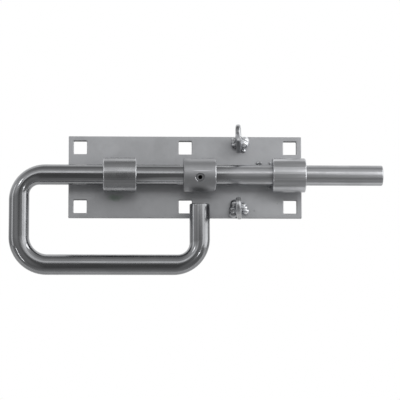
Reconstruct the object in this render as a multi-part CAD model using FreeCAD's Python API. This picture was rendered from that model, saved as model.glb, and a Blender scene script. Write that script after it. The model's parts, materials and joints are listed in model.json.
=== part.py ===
import FreeCAD, Part

import math
import os

# Heavy slide bolt for a gate or a stable door.
# Frame: the plate's back face lies in the XZ plane with the origin at its middle. X runs along
# the bolt towards its nose, Z is up, and the door is on the +Y side. All sizes are in mm.

# Base plate: flat bar with square holes for the necks of carriage bolts
PLATE_LENGTH = 230.0
PLATE_WIDTH = 81.0
PLATE_THICKNESS = 5.0
HOLE_SIDE = 13.0
HOLE_CORNER_RADIUS = 0.8
HOLE_END_INSET = 11.5
HOLE_EDGE_INSET = 11.25
HOLE_COLUMNS = 3
HOLE_ROWS = 2

# Bolt and handle: one bent length of round bar
ROD_DIAMETER = 20.0
BOLT_PROJECTION = 78.0
HANDLE_OVERHANG = 47.3
GRIP_DROP = 88.0
STUB_GAP = 18.5
TOP_BEND_RADIUS = 24.0
LOWER_BEND_RADIUS = 29.0
STUB_BEND_RADIUS = 25.0
ROD_END_CHAMFER = 1.2

# Guide sleeves: short lengths of thick tube welded to the plate
SLEEVE_DIAMETER = 33.5
SLEEVE_LENGTH = 32.4
SLEEVE_CLEARANCE = 0.5
SLEEVE_CHAMFER = 0.9
REAR_SLEEVE_INSET = 34.2
FRONT_SLEEVE_OVERHANG = 2.0

# Stop collar, held on the bar by one set screw, and its running gaps
COLLAR_LENGTH = 31.5
COLLAR_CLEARANCE = 0.08
COLLAR_PLATE_GAP = 0.35
COLLAR_CHAMFER = 0.7
BACK_TRAVEL = 46.1

# Set screw: M8 with a hexagon socket, turned a little below the front of the collar
SCREW_DIAMETER = 8.0
SCREW_HOLE_CLEARANCE = 0.06
SCREW_RECESS = 0.8
SCREW_TIP_GAP = 0.35
SCREW_CHAMFER = 0.5
SCREW_ANGLE = 15.0
SOCKET_ACROSS_FLATS = 4.0
SOCKET_DEPTH = 2.6

# Padlock eyes: drilled tabs on the plate's edges, welded a few degrees out of square
EYE_THICKNESS = 5.0
EYE_WIDTH = 17.0
EYE_HEIGHT = 48.0
EYE_HOLE_DIAMETER = 10.0
EYE_EDGE_OVERHANG = 1.0
EYE_INSET = 61.6
EYE_EDGE_ROUND = 0.8
EYE_LEAN_REAR = 5.0
UPPER_EYE_LEAN_UP = 7.5
LOWER_EYE_LEAN_UP = 0.5
STUB_EYE_GAP = 27.5

# Weld beads: their radii, where they lie, and how far they stop short of a joint's end
SLEEVE_WELD_RADIUS = 5.0
SLEEVE_WELD_OFFSET = 8.2
SLEEVE_WELD_RISE = 2.2
SLEEVE_WELD_SETBACK = 2.0
EYE_WELD_REAR_RADIUS = 5.6
EYE_WELD_FRONT_RADIUS = 7.0
EYE_WELD_INNER_SETBACK = 0.9
EYE_WELD_OUTER_SETBACK = 1.0
EYE_WELD_LEAST_LENGTH = 0.5

# How far a tool that cuts a hole runs past the piece at each end
CUT_PAST = 1.0

# Places that follow from the sizes above
HOLE_PITCH_X = (PLATE_LENGTH - 2 * HOLE_END_INSET) / (HOLE_COLUMNS - 1)
HOLE_PITCH_Z = (PLATE_WIDTH - 2 * HOLE_EDGE_INSET) / (HOLE_ROWS - 1)
PLATE_FRONT_Y = -PLATE_THICKNESS
PLATE_REAR_X = -PLATE_LENGTH / 2
PLATE_NOSE_X = PLATE_LENGTH / 2
ROD_RADIUS = ROD_DIAMETER / 2
SLEEVE_RADIUS = SLEEVE_DIAMETER / 2
AXIS_Y = PLATE_FRONT_Y - SLEEVE_RADIUS
REAR_SLEEVE_X = PLATE_REAR_X + REAR_SLEEVE_INSET + SLEEVE_LENGTH / 2
FRONT_SLEEVE_X = PLATE_NOSE_X + FRONT_SLEEVE_OVERHANG - SLEEVE_LENGTH / 2
COLLAR_RADIUS = SLEEVE_RADIUS - COLLAR_PLATE_GAP
COLLAR_BORE_RADIUS = ROD_RADIUS + COLLAR_CLEARANCE
COLLAR_X = REAR_SLEEVE_X + SLEEVE_LENGTH / 2 + BACK_TRAVEL + COLLAR_LENGTH / 2
NOSE_X = PLATE_NOSE_X + BOLT_PROJECTION
HANDLE_X = PLATE_REAR_X - HANDLE_OVERHANG
EYE_X = PLATE_NOSE_X - EYE_INSET
EYE_Z = PLATE_WIDTH / 2 + EYE_EDGE_OVERHANG - EYE_WIDTH / 2
STUB_X = EYE_X - EYE_THICKNESS / 2 - STUB_EYE_GAP - ROD_RADIUS
STUB_END_Z = -(ROD_RADIUS + STUB_GAP)

X_AXIS = FreeCAD.Vector(1, 0, 0)
Y_AXIS = FreeCAD.Vector(0, 1, 0)
Z_AXIS = FreeCAD.Vector(0, 0, 1)


def vec(x, y, z):
    return FreeCAD.Vector(x, y, z)


def along_x(radius, x_from, x_to, y, z):
    """A round bar from x_from to x_to."""
    return Part.makeCylinder(radius, x_to - x_from, vec(x_from, y, z), X_AXIS)


def capsule(radius, start, end, poles=Z_AXIS):
    """A round bar with ball ends centred on start and end, the balls' poles turned as given."""
    axis = end.sub(start)
    body = Part.makeCylinder(radius, axis.Length, start, axis)
    for centre in (start, end):
        body = body.fuse(Part.makeSphere(radius, centre, poles))
    return body.removeSplitter()


def rims(shape, centre):
    """The circular edges of a shape whose centre is at the given point."""
    found = []
    for edge in shape.Edges:
        curve = edge.Curve
        if isinstance(curve, Part.Circle) and curve.Center.distanceToPoint(centre) < 0.01:
            found.append(edge)
    return found


def one_solid(shape):
    """The single solid in a shape that booleans may have wrapped in a compound."""
    solids = shape.Solids
    solids.sort(key=lambda solid: solid.Volume)
    return solids[-1]


def base_plate():
    plate = Part.makeBox(
        PLATE_LENGTH,
        PLATE_THICKNESS,
        PLATE_WIDTH,
        vec(PLATE_REAR_X, PLATE_FRONT_Y, -PLATE_WIDTH / 2),
    )
    for column in range(HOLE_COLUMNS):
        for row in range(HOLE_ROWS):
            x = (column - (HOLE_COLUMNS - 1) / 2) * HOLE_PITCH_X
            z = (row - (HOLE_ROWS - 1) / 2) * HOLE_PITCH_Z
            plate = plate.cut(square_punch(x, z))
    return one_solid(plate)


def square_punch(x, z):
    """The prism that opens one square hole, longer than the plate is thick."""
    depth = 3 * PLATE_THICKNESS
    corner = vec(x - HOLE_SIDE / 2, -2 * PLATE_THICKNESS, z - HOLE_SIDE / 2)
    punch = Part.makeBox(HOLE_SIDE, depth, HOLE_SIDE, corner)
    uprights = [edge for edge in punch.Edges if abs(edge.Length - depth) < 0.01]
    return punch.makeFillet(HOLE_CORNER_RADIUS, uprights)


def tube(x_middle, length, outer, bore, chamfer):
    """A collar-shaped piece on the bolt's axis, with its outer rims chamfered."""
    x_from = x_middle - length / 2
    x_to = x_middle + length / 2
    body = along_x(outer, x_from, x_to, AXIS_Y, 0)
    edges = rims(body, vec(x_from, AXIS_Y, 0)) + rims(body, vec(x_to, AXIS_Y, 0))
    body = body.makeChamfer(chamfer, edges)
    return body.cut(along_x(bore, x_from - CUT_PAST, x_to + CUT_PAST, AXIS_Y, 0))


def guide_sleeve(x_middle):
    bore = ROD_RADIUS + SLEEVE_CLEARANCE
    return one_solid(tube(x_middle, SLEEVE_LENGTH, SLEEVE_RADIUS, bore, SLEEVE_CHAMFER))


def screw_direction():
    """Outwards from the bolt's axis to the head of the set screw."""
    angle = math.radians(SCREW_ANGLE)
    return vec(0, -math.cos(angle), -math.sin(angle))


def on_screw(radius):
    """The point of the set screw's axis at this distance from the bolt's axis."""
    return vec(COLLAR_X, AXIS_Y, 0).add(screw_direction().multiply(radius))


def stop_collar():
    collar = tube(COLLAR_X, COLLAR_LENGTH, COLLAR_RADIUS, COLLAR_BORE_RADIUS, COLLAR_CHAMFER)
    hole_radius = SCREW_DIAMETER / 2 + SCREW_HOLE_CLEARANCE
    hole = Part.makeCylinder(hole_radius, COLLAR_RADIUS, on_screw(ROD_RADIUS / 2), screw_direction())
    return one_solid(collar.cut(hole))


def collar_set_screw():
    inner = ROD_RADIUS + SCREW_TIP_GAP
    outer = COLLAR_RADIUS - SCREW_RECESS
    radius = SCREW_DIAMETER / 2
    body = Part.makeCylinder(radius, outer - inner, on_screw(inner), screw_direction())
    ends = rims(body, on_screw(inner)) + rims(body, on_screw(outer))
    body = body.makeChamfer(SCREW_CHAMFER, ends)
    return one_solid(body.cut(hexagon_prism(on_screw(outer - SOCKET_DEPTH))))


def hexagon_prism(foot):
    """The socket's hexagonal prism, standing on foot and open past the screw's face."""
    corner_radius = SOCKET_ACROSS_FLATS / 2 / math.cos(math.radians(30))
    side = screw_direction().cross(X_AXIS)
    corners = []
    for step in range(7):
        angle = math.radians(60 * step)
        across = FreeCAD.Vector(X_AXIS).multiply(corner_radius * math.cos(angle))
        upright = FreeCAD.Vector(side).multiply(corner_radius * math.sin(angle))
        corners.append(foot.add(across).add(upright))
    face = Part.Face(Part.makePolygon(corners))
    return face.extrude(screw_direction().multiply(2 * SOCKET_DEPTH))


def bend(before, corner, after, radius):
    """The start, middle and end of the arc that rounds a right-angled corner."""
    back = before.sub(corner).normalize().multiply(radius)
    ahead = after.sub(corner).normalize().multiply(radius)
    start = corner.add(back)
    end = corner.add(ahead)
    centre = start.add(ahead)
    towards = corner.sub(centre).normalize().multiply(radius)
    return start, centre.add(towards), end


def bolt_path():
    """The bar's centre line: nose, rear bend, lower bend, front bend, free end."""
    nose = vec(NOSE_X, AXIS_Y, 0)
    corners = [
        (vec(HANDLE_X, AXIS_Y, 0), TOP_BEND_RADIUS),
        (vec(HANDLE_X, AXIS_Y, -GRIP_DROP), LOWER_BEND_RADIUS),
        (vec(STUB_X, AXIS_Y, -GRIP_DROP), STUB_BEND_RADIUS),
    ]
    free_end = vec(STUB_X, AXIS_Y, STUB_END_Z)
    points = [nose] + [corner for corner, radius in corners] + [free_end]
    edges = []
    here = nose
    for index, (corner, radius) in enumerate(corners):
        start, middle, end = bend(points[index], corner, points[index + 2], radius)
        edges.append(Part.LineSegment(here, start).toShape())
        edges.append(Part.Arc(start, middle, end).toShape())
        here = end
    edges.append(Part.LineSegment(here, free_end).toShape())
    return Part.Wire(edges), nose, free_end


def bolt_rod():
    path, nose, free_end = bolt_path()
    section = Part.Wire([Part.Circle(nose, X_AXIS, ROD_RADIUS).toShape()])
    bar = path.makePipeShell([section], True, True)
    solid = Part.Solid(bar) if bar.ShapeType == "Shell" else bar
    edges = rims(solid, nose) + rims(solid, free_end)
    return one_solid(solid.makeChamfer(ROD_END_CHAMFER, edges))


def lean(shape, side):
    """Tilts a shape about the foot of the eye, as the real tabs were welded."""
    foot = vec(EYE_X, PLATE_FRONT_Y, side * EYE_Z)
    lean_up = UPPER_EYE_LEAN_UP if side > 0 else LOWER_EYE_LEAN_UP
    shape.rotate(foot, X_AXIS, -lean_up)
    shape.rotate(foot, Z_AXIS, -EYE_LEAN_REAR)
    return shape


def upright_eye(side):
    """The tab before it leans, its root sunk one thickness below the plate's face."""
    round_radius = EYE_WIDTH / 2
    middle = vec(EYE_X - EYE_THICKNESS / 2, PLATE_FRONT_Y - EYE_HEIGHT + round_radius, side * EYE_Z)
    shank = Part.makeBox(
        EYE_THICKNESS,
        EYE_HEIGHT - round_radius + PLATE_THICKNESS,
        EYE_WIDTH,
        vec(middle.x, middle.y, middle.z - round_radius),
    )
    tab = shank.fuse(Part.makeCylinder(round_radius, EYE_THICKNESS, middle, X_AXIS)).removeSplitter()
    front = [edge for edge in tab.Edges if edge.BoundBox.XLength < 0.01 and edge.BoundBox.YLength > 0.5]
    tab = tab.makeFillet(EYE_EDGE_ROUND, front)
    hole = along_x(EYE_HOLE_DIAMETER / 2, middle.x - CUT_PAST,
                   middle.x + EYE_THICKNESS + CUT_PAST, middle.y, middle.z)
    return tab.cut(hole)


def behind_plate_front():
    """The half space behind the plate's front face, as a large block."""
    span = 2 * (PLATE_LENGTH + PLATE_WIDTH)
    return Part.makeBox(span, span, span, vec(-span / 2, PLATE_FRONT_Y, -span / 2))


def padlock_eye(side):
    """One eye: side is 1 for the upper edge of the plate and -1 for the lower."""
    tab = lean(upright_eye(side), side)
    return one_solid(tab.cut(behind_plate_front()))


def sleeve_weld(x_middle, side):
    """The bead in the groove between a sleeve and the plate, above or below the sleeve."""
    y = PLATE_FRONT_Y - SLEEVE_WELD_RISE
    z = side * SLEEVE_WELD_OFFSET
    half = SLEEVE_LENGTH / 2 - SLEEVE_WELD_SETBACK - SLEEVE_WELD_RADIUS
    bead = capsule(SLEEVE_WELD_RADIUS, vec(x_middle - half, y, z), vec(x_middle + half, y, z))
    bead = bead.cut(behind_plate_front())
    whole = along_x(SLEEVE_RADIUS, x_middle - SLEEVE_LENGTH, x_middle + SLEEVE_LENGTH, AXIS_Y, 0)
    return one_solid(bead.cut(whole))


def past_eye_face(side, end):
    """The half space that starts at one face of a leaning eye and holds the eye."""
    span = 2 * EYE_HEIGHT
    face = EYE_X + end * EYE_THICKNESS / 2
    x = face - span if end > 0 else face
    corner = vec(x, PLATE_FRONT_Y - span, side * EYE_Z - span / 2)
    return lean(Part.makeBox(span, 2 * span, span, corner), side)


def eye_weld(side, end):
    """The bead along one face of an eye's root: end is -1 behind the eye and 1 on its nose side."""
    radius = EYE_WELD_REAR_RADIUS if end < 0 else EYE_WELD_FRONT_RADIUS
    x = EYE_X + end * EYE_THICKNESS / 2
    inner = EYE_Z - EYE_WIDTH / 2 + EYE_WELD_INNER_SETBACK + radius
    outer = EYE_Z + EYE_WIDTH / 2 - EYE_WELD_OUTER_SETBACK - radius
    start = vec(x, PLATE_FRONT_Y, side * inner)
    stop = vec(x, PLATE_FRONT_Y, side * max(outer, inner + EYE_WELD_LEAST_LENGTH))
    # The balls' poles point out of the corner, so that neither cut below runs through them.
    bead = capsule(radius, start, stop, vec(end, -1, 0)).cut(behind_plate_front())
    return one_solid(bead.cut(past_eye_face(side, end)))


def save(name, shape):
    """Writes one piece and prints its size."""
    if not shape.isValid():
        raise ValueError(name + " is not a valid solid")
    shape.exportStep("parts/" + name + ".step")
    box = shape.BoundBox
    sizes = "%.1f x %.1f x %.1f" % (box.XLength, box.YLength, box.ZLength)
    print("%-26s %8.0f mm3  %s" % (name, shape.Volume, sizes))


def main():
    os.makedirs("parts", exist_ok=True)
    save("base_plate", base_plate())
    save("bolt_rod", bolt_rod())
    save("stop_collar", stop_collar())
    save("collar_set_screw", collar_set_screw())
    for place, x_middle in (("rear", REAR_SLEEVE_X), ("front", FRONT_SLEEVE_X)):
        save(place + "_guide_sleeve", guide_sleeve(x_middle))
        for side, edge in ((1, "upper"), (-1, "lower")):
            save(place + "_sleeve_weld_" + edge, sleeve_weld(x_middle, side))
    for side, edge in ((1, "upper"), (-1, "lower")):
        save(edge + "_padlock_eye", padlock_eye(side))
        for end, face in ((-1, "rear"), (1, "front")):
            save(edge + "_eye_weld_" + face, eye_weld(side, end))


main()
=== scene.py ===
# %% [markdown]
# A heavy slide bolt for a gate, dressed in Blender around its construction model.
# The construction model gives every size and place, in metres: X runs along the bolt towards its
# nose, Z is up, and the door is on the +Y side. Each step below explains one piece or one finish,
# says how it could be made, and then makes it.

# %% Load the frame
import json
import math

import bmesh
import bpy
from mathutils import Matrix, Vector


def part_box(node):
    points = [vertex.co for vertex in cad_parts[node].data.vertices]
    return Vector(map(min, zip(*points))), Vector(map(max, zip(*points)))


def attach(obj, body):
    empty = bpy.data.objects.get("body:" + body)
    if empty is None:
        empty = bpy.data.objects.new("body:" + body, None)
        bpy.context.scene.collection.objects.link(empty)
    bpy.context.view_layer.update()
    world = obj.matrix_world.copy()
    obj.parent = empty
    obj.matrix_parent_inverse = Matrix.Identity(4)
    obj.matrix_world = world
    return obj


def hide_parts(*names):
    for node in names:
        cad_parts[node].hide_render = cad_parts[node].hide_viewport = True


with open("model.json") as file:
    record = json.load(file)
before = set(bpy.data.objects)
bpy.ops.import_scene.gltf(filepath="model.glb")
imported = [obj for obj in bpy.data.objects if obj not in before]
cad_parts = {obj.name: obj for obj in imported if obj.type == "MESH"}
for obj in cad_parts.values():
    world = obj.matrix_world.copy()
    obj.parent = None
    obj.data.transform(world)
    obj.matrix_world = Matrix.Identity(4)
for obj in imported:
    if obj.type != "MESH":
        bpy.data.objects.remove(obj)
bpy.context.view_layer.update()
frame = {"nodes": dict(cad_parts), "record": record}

MM = 0.001

# %% [markdown]
# Places that several pieces share are read from the frame, so nothing here has to be fitted by eye.

# %% Shared places
PLATE_LOW, PLATE_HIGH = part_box("base_plate")
ROD_LOW, ROD_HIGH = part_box("bolt_rod")
ROD_RADIUS = (ROD_HIGH.y - ROD_LOW.y) / 2
AXIS_Y = (ROD_HIGH.y + ROD_LOW.y) / 2
PLATE_FRONT = PLATE_LOW.y
print("bolt axis at y = %.2f mm, rod radius %.2f mm" % (AXIS_Y / MM, ROD_RADIUS / MM))

# %% [markdown]
# Node trees, for shapes and for finishes alike, are lists of nodes joined by links. Two helpers
# keep the code short: one starts a group with named inputs, and one adds a node and fills its
# sockets. A socket gets a plain value, another node's socket, or another node, which stands for its
# first output. The small helpers after them each add one kind of node that is used often.

# %% Helpers for node trees
def start_group(name, kind, inputs, outputs):
    """A node group with named inputs and outputs: returns its tree and the sockets inside it."""
    tree = bpy.data.node_groups.new(name, kind)
    for in_out, sockets in (("INPUT", inputs), ("OUTPUT", outputs)):
        for label, sort in sockets:
            tree.interface.new_socket(name=label, in_out=in_out,
                                      socket_type="NodeSocket" + sort.capitalize())
    return tree, tree.nodes.new("NodeGroupInput").outputs, tree.nodes.new("NodeGroupOutput").inputs


def add(tree, kind, values=None, **settings):
    """Adds a node, sets its settings, and fills its inputs with values or with links."""
    node = tree.nodes.new(kind)
    for name, setting in settings.items():
        setattr(node, name, setting)
    for key, value in (values or {}).items():
        if isinstance(value, bpy.types.Node):
            value = value.outputs[0]
        if isinstance(value, bpy.types.NodeSocket):
            tree.links.new(value, node.inputs[key])
        else:
            node.inputs[key].default_value = value
    return node


def calc(tree, operation, first, second=0.0, third=0.0):
    """A Math node's result."""
    return add(tree, "ShaderNodeMath", {0: first, 1: second, 2: third},
               operation=operation).outputs[0]


def vector_calc(tree, operation, first, second=(0.0, 0.0, 0.0)):
    """A Vector Math node's result: a number for a length or a dot product, or else a vector."""
    other = "Scale" if operation == "SCALE" else 1
    node = add(tree, "ShaderNodeVectorMath", {0: first, other: second}, operation=operation)
    return node.outputs["Value" if operation in ("LENGTH", "DOT_PRODUCT") else "Vector"]


def blend_colors(tree, factor, first, second, mode="MIX"):
    """A Mix node's colour."""
    return add(tree, "ShaderNodeMix", {0: factor, 6: first, 7: second},
               data_type="RGBA", blend_type=mode).outputs[2]


def remap(tree, value, low, high, to_low, to_high, smooth=True):
    """A Map Range node's result: a value between low and high becomes one between the others."""
    return add(tree, "ShaderNodeMapRange",
               {"Value": value, "From Min": low, "From Max": high,
                "To Min": to_low, "To Max": to_high},
               interpolation_type="SMOOTHSTEP" if smooth else "LINEAR").outputs[0]


def noise(tree, place, scale, detail=2.0, roughness=0.5):
    """A Noise Texture's grey value, about 0.5 on average."""
    return add(tree, "ShaderNodeTexNoise", {"Vector": place, "Scale": scale, "Detail": detail,
                                            "Roughness": roughness}).outputs[0]


def ripple(tree, place, scale, detail=2.0, roughness=0.5):
    """The same noise, about zero."""
    return calc(tree, "SUBTRACT", noise(tree, place, scale, detail, roughness), 0.5)


# %% [markdown]
# Everything here is steel with a thin coat of electroplated zinc. Zinc is a satin grey metal whose
# brightness drifts in soft clouds, because the plating bath and the rolled skin beneath were not
# even. One shader group makes those clouds for all the pieces. It puts out a shade to multiply the
# colour by and a value for the roughness, and each material keeps its own Principled BSDF.

# %% Shader group: zinc clouds
FINE_TO_BROAD = 5.3
FINE_SHARE = 0.3
CLOUD_SPAN = (0.38, 0.62)
SPECK_SCALE = 900.0
SPECK_DEPTH = 0.05


def zinc_clouds():
    tree, given, result = start_group(
        "Zinc clouds", "ShaderNodeTree",
        [("Place", "vector"), ("Cloud scale", "float"), ("Cloud depth", "float"),
         ("Base roughness", "float"), ("Roughness drift", "float")],
        [("Shade", "float"), ("Roughness", "float")])
    broad = noise(tree, given["Place"], given["Cloud scale"], 2.0, 0.45)
    fine_scale = calc(tree, "MULTIPLY", given["Cloud scale"], FINE_TO_BROAD)
    fine = noise(tree, given["Place"], fine_scale, 3.0, 0.6)
    mixed = calc(tree, "MULTIPLY_ADD", fine, FINE_SHARE,
                 calc(tree, "MULTIPLY", broad, 1 - FINE_SHARE))
    cloud = remap(tree, mixed, *CLOUD_SPAN, -1.0, 1.0)
    shade = calc(tree, "MULTIPLY_ADD", cloud, given["Cloud depth"], 1.0)
    specks = ripple(tree, given["Place"], SPECK_SCALE, 2.0, 0.7)
    speck = calc(tree, "MULTIPLY", specks, SPECK_DEPTH)
    tree.links.new(calc(tree, "ADD", shade, speck), result["Shade"])
    drift = calc(tree, "MULTIPLY", cloud, given["Roughness drift"])
    rough = calc(tree, "ADD", calc(tree, "SUBTRACT", given["Base roughness"], drift), speck)
    tree.links.new(rough, result["Roughness"])
    return tree


ZINC_CLOUDS = zinc_clouds()
print("group:", ZINC_CLOUDS.name)

# %% [markdown]
# A length of bar or tube carries fine lines from the die that it was drawn through. They run the
# whole length and hardly change along it, so the noise behind them is stretched: it changes fast
# round the piece and very slowly along it. The group puts out a value about zero.

# %% Shader group: drawn lines
def drawn_lines():
    tree, given, result = start_group(
        "Drawn lines", "ShaderNodeTree",
        [("Place", "vector"), ("Along", "float"), ("Around", "float")], [("Line", "float")])
    stretch = add(tree, "ShaderNodeCombineXYZ",
                  {0: given["Along"], 1: given["Around"], 2: given["Around"]})
    place = vector_calc(tree, "MULTIPLY", given["Place"], stretch)
    tree.links.new(ripple(tree, place, 1.0, 3.0, 0.6), result["Line"])
    return tree


DRAWN_LINES = drawn_lines()
print("group:", DRAWN_LINES.name)

# %% [markdown]
# Marks that lie at one place, such as a stain or a cloud left by the plating bath, are soft
# ellipses with a wavering edge. One group makes them all from a centre and a half size.

# %% Shader group: soft patch
def soft_patch():
    tree, given, result = start_group(
        "Soft patch", "ShaderNodeTree",
        [("Place", "vector"), ("Centre", "vector"), ("Half size", "vector"),
         ("Core", "float"), ("Waver", "float"), ("Waver scale", "float")], [("Mask", "float")])
    from_centre = vector_calc(tree, "SUBTRACT", given["Place"], given["Centre"])
    scaled = vector_calc(tree, "DIVIDE", from_centre, given["Half size"])
    wave = ripple(tree, given["Place"], given["Waver scale"])
    distance = calc(tree, "MULTIPLY_ADD", wave, given["Waver"], vector_calc(tree, "LENGTH", scaled))
    tree.links.new(remap(tree, distance, given["Core"], 1.0, 1.0, 0.0), result["Mask"])
    return tree


SOFT_PATCH = soft_patch()
print("group:", SOFT_PATCH.name)

# %% [markdown]
# A material for a piece starts from the clouds. Base colour is the zinc's own grey times the shade,
# with a faint blue tint. The constant values, such as Metallic, are set on the shader's own
# sockets. The class keeps the shade, the roughness and the height as sockets, so that a piece's own
# marks can be laid over them before they are linked to the shader. A table at the end holds the
# finishes that need nothing but clouds and grain.

# %% Zinc materials
ZINC_TINT = (1.0, 1.015, 1.047, 1.0)
BUMP_HEIGHT = 0.0001
BAR_BUMP_HEIGHT = 0.00012


class Finish:
    """A material in the making: its tree, its shader, and the sockets that the marks build on."""

    def __init__(self, name, grey, roughness, cloud_scale, cloud_depth, drift):
        self.material = bpy.data.materials.new(name)
        self.material.use_nodes = True
        self.tree = self.material.node_tree
        self.shader = self.tree.nodes["Principled BSDF"]
        self.shader.inputs["Metallic"].default_value = 1.0
        self.place = add(self.tree, "ShaderNodeTexCoord").outputs["Object"]
        clouds = add(self.tree, "ShaderNodeGroup", {
            "Place": self.place, "Cloud scale": cloud_scale, "Cloud depth": cloud_depth,
            "Base roughness": roughness, "Roughness drift": drift}, node_tree=ZINC_CLOUDS)
        self.shade = calc(self.tree, "MULTIPLY", clouds.outputs["Shade"], grey)
        self.roughness = clouds.outputs["Roughness"]
        self.height = None

    def lines(self, place, along, around, shade_depth, height_depth):
        """Lays drawn lines over the shade and the height."""
        line = add(self.tree, "ShaderNodeGroup", {"Place": place, "Along": along, "Around": around},
                   node_tree=DRAWN_LINES).outputs["Line"]
        self.shade_by(line, shade_depth)
        self.raise_by(calc(self.tree, "MULTIPLY", line, height_depth))

    def grain(self, scale, height_depth):
        """Adds an even fine grain to the height."""
        value = ripple(self.tree, self.place, scale, 3.0, 0.6)
        self.raise_by(calc(self.tree, "MULTIPLY", value, height_depth))

    def raise_by(self, value):
        self.height = calc(self.tree, "ADD", self.height, value) if self.height else value

    def patch(self, centre, half, core, waver, waver_scale):
        """A soft patch's mask at a place on the piece."""
        return add(self.tree, "ShaderNodeGroup", {
            "Place": self.place, "Centre": centre, "Half size": half, "Core": core,
            "Waver": waver, "Waver scale": waver_scale}, node_tree=SOFT_PATCH).outputs["Mask"]

    def shade_by(self, mask, amount):
        """Multiplies the shade by 1 + amount where the mask is 1."""
        factor = calc(self.tree, "MULTIPLY_ADD", mask, amount, 1.0)
        self.shade = calc(self.tree, "MULTIPLY", self.shade, factor)

    def roughen_by(self, mask, amount):
        self.roughness = calc(self.tree, "MULTIPLY_ADD", mask, amount, self.roughness)

    def finish(self, bump_height=BUMP_HEIGHT, tint=ZINC_TINT):
        """Links everything to the shader and returns the material."""
        shade = add(self.tree, "ShaderNodeCombineXYZ", dict.fromkeys(range(3), self.shade))
        tinted = blend_colors(self.tree, 1.0, tint, shade, "MULTIPLY")
        self.tree.links.new(tinted, self.shader.inputs["Base Color"])
        self.tree.links.new(self.roughness, self.shader.inputs["Roughness"])
        rise = add(self.tree, "ShaderNodeBump",
                   {"Strength": 1.0, "Distance": bump_height, "Height": self.height})
        self.tree.links.new(rise.outputs[0], self.shader.inputs["Normal"])
        return self.material


# The nose end runs in the front sleeve and in the keeper, so it is scuffed: paler and duller.
SCUFFED_LENGTH = 0.170
SCUFF_FADE = 0.030
SCUFF_SHADE = 0.5
SCUFF_ROUGHNESS = 0.17
# Painted reflection: a lighter strip along the bar's lower front, for the band of light there.
REFLECTION_STRIP_CENTRE = (-0.015, -0.0290, -0.0058)
REFLECTION_STRIP_HALF = (0.040, 0.0050, 0.0040)
REFLECTION_STRIP_LIFT = 0.9


def bar_finish():
    """The drawn bar. Its lines follow the bends: they go by each point's place when straight."""
    bar = Finish("rod_zinc", grey=0.30, roughness=0.17,
                 cloud_scale=45.0, cloud_depth=0.05, drift=0.03)
    straight = add(bar.tree, "ShaderNodeAttribute", attribute_name="straightened").outputs["Vector"]
    from_nose = add(bar.tree, "ShaderNodeSeparateXYZ", {0: straight}).outputs["X"]
    scuffed = remap(bar.tree, from_nose, SCUFFED_LENGTH - SCUFF_FADE, SCUFFED_LENGTH, 1.0, 0.0)
    bar.shade_by(scuffed, SCUFF_SHADE)
    bar.roughen_by(scuffed, SCUFF_ROUGHNESS)
    # Painted reflection: the lighter strip along the bar's lower front.
    strip = bar.patch(REFLECTION_STRIP_CENTRE, REFLECTION_STRIP_HALF,
                      core=0.5, waver=0.15, waver_scale=60.0)
    bar.shade_by(strip, REFLECTION_STRIP_LIFT)
    bar.lines(straight, along=3.0, around=420.0, shade_depth=1.1, height_depth=0.35)
    bar.lines(straight, along=6.0, around=1100.0, shade_depth=0.6, height_depth=0.06)
    return bar.finish(BAR_BUMP_HEIGHT)


def tube_finish(name, grey, roughness, around, line_shade):
    tube = Finish(name, grey, roughness, cloud_scale=34.0, cloud_depth=0.06, drift=0.05)
    tube.lines(tube.place, 6.0, around, line_shade, height_depth=0.1)
    return tube.finish()


def plain_finish(name, grey, roughness, cloud_scale, cloud_depth, grain_height):
    finish = Finish(name, grey, roughness, cloud_scale, cloud_depth, drift=0.05)
    finish.grain(1500.0, grain_height)
    return finish.finish()


ROD_ZINC = bar_finish()
SLEEVE_ZINC = {
    # name, grey, roughness, lines around, their shade
    "rear": tube_finish("rear_sleeve_zinc", 0.37, 0.25, 650.0, 1.3),
    "front": tube_finish("front_sleeve_zinc", 0.51, 0.35, 480.0, 1.6),
}
WELD_ZINC, HOLE_WALL_SHADE, RIM_HIGHLIGHT, WELD_PAINTED_LIT, WELD_PAINTED_SHADED, DULL_SPATTER = [
    plain_finish(*values) for values in (
        # name, grey, roughness, cloud scale, cloud depth, grain height
        ("weld_metal", 0.66, 0.2, 300.0, 0.15, 0.04),
        # The holes' walls: a dark finish, which is painted shade.
        ("punched_edge", 0.16, 0.5, 200.0, 0.2, 0.05),
        # Brighter rims: filed, and also a painted highlight.
        ("rim_highlight", 0.60, 0.25, 200.0, 0.1, 0.0),
        # A pale and a dark copy of the weld finish for the eyes' beads: painted light and painted
        # shade.
        ("weld_painted_lit", 0.92, 0.28, 500.0, 0.08, 0.03),
        ("weld_painted_shaded", 0.42, 0.22, 300.0, 0.2, 0.03),
        ("dull_spatter", 0.50, 0.5, 300.0, 0.15, 0.04),
    )]

# %% [markdown]
# Every new piece is finished in the same way: it gets its material, rides on a body of the
# construction model, and hides the plain nodes that it stands for. The other helpers build solids
# from points and faces, turn a shape or an object's modifiers into a plain mesh, and give some of
# its faces a second material.

# %% Helpers for pieces
def make_object(name, mesh):
    thing = bpy.data.objects.new(name, mesh)
    bpy.context.scene.collection.objects.link(thing)
    return thing


def place_piece(piece, material, body, nodes=()):
    """Gives a new piece its material and its body, and hides the nodes that it stands for."""
    if material.name not in piece.data.materials:
        piece.data.materials.append(material)
    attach(piece, body)
    if nodes:
        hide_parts(*nodes)
    print("%-24s %6d faces, on %s" % (piece.name, len(piece.data.polygons), body))


def keep_node(node, material):
    """A construction node whose shape is right keeps its mesh and gets a better material."""
    mesh = frame["nodes"][node].data
    mesh.materials.clear()
    mesh.materials.append(material)


def paint_faces(thing, material, wanted):
    """Gives some of a thing's faces another material: those for which wanted(face) is true."""
    materials = thing.data.materials
    if material.name not in materials:
        materials.append(material)
    for face in thing.data.polygons:
        if wanted(face):
            face.material_index = materials.find(material.name)


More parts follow.
